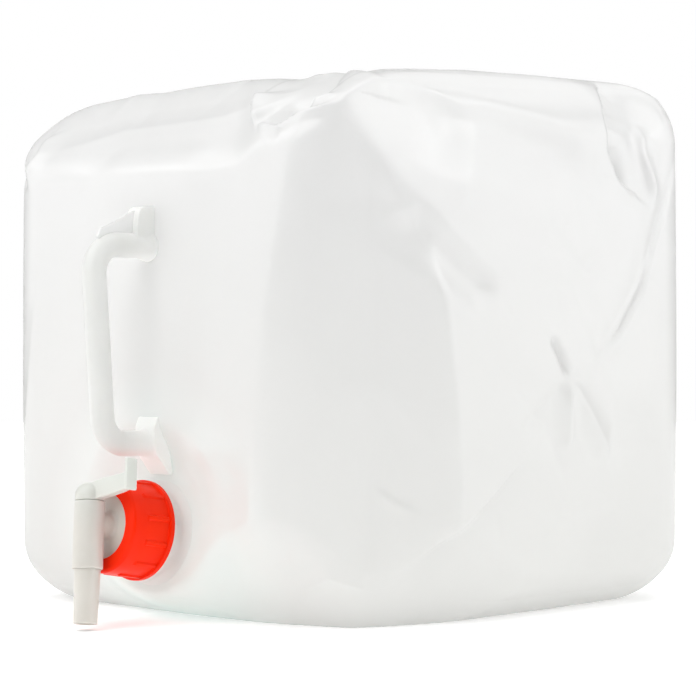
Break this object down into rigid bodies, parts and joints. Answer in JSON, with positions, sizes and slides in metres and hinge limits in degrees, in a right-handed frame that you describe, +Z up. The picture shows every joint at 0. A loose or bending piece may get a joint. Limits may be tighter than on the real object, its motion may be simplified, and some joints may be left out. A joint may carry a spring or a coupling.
{
  "type": "collapsible water carrier",
  "caption": "Collapsible cube-shaped water carrier: a thin translucent bag with a carry handle, a screw cap ring and a quarter-turn tap.",
  "frame": {"origin": "centre of the flat base that the filled bag stands on", "axes": "+Z up; the front panel, with the handle and the tap, faces -Y; +X is on the right in a front view"},
  "size_m": [0.298, 0.3498, 0.288],
  "materials": {
    "film": "translucent blown film, softly creased",
    "natural_polyethylene": "milky, satin",
    "seal_rubber": "matt",
    "cap_plastic": "semi-gloss orange-red",
    "tap_plastic": "milky, semi-gloss"
  },
  "bodies": {
    "root": {"bag_skin": "film", "threaded_neck": "natural_polyethylene", "carry_handle": "natural_polyethylene"},
    "seal": {"seal_washer": "seal_rubber"},
    "cap": {"cap_ring": "cap_plastic"},
    "tap": {"tap_body": "tap_plastic"},
    "plug": {"tap_plug": "tap_plastic"}
  },
  "joints": [
    {"name": "cap_advance", "type": "slide", "parent": "root", "child": "seal", "axis": [0, -0.9877, 0.1564], "range_m": [0, 0.0111]},
    {"name": "cap_turn", "type": "hinge", "parent": "seal", "child": "cap", "pos_m": [0, -0.143, 0.045], "axis": [0, -0.9877, 0.1564], "range_deg": [0, 720]},
    {"name": "tap_swivel", "type": "hinge", "parent": "seal", "child": "tap", "pos_m": [0, -0.143, 0.045], "axis": [0, -0.9877, 0.1564], "range_deg": [-90, 20]},
    {"name": "lever_turn", "type": "hinge", "parent": "tap", "child": "plug", "pos_m": [0, -0.18715, 0.05199], "axis": [0.1305, -0.1551, -0.9792], "range_deg": [0, 90]}
  ],
  "couplings": [
    {"joint": "cap_advance", "follows": "cap_turn", "m_per_rad": 0.00087535}
  ]
}
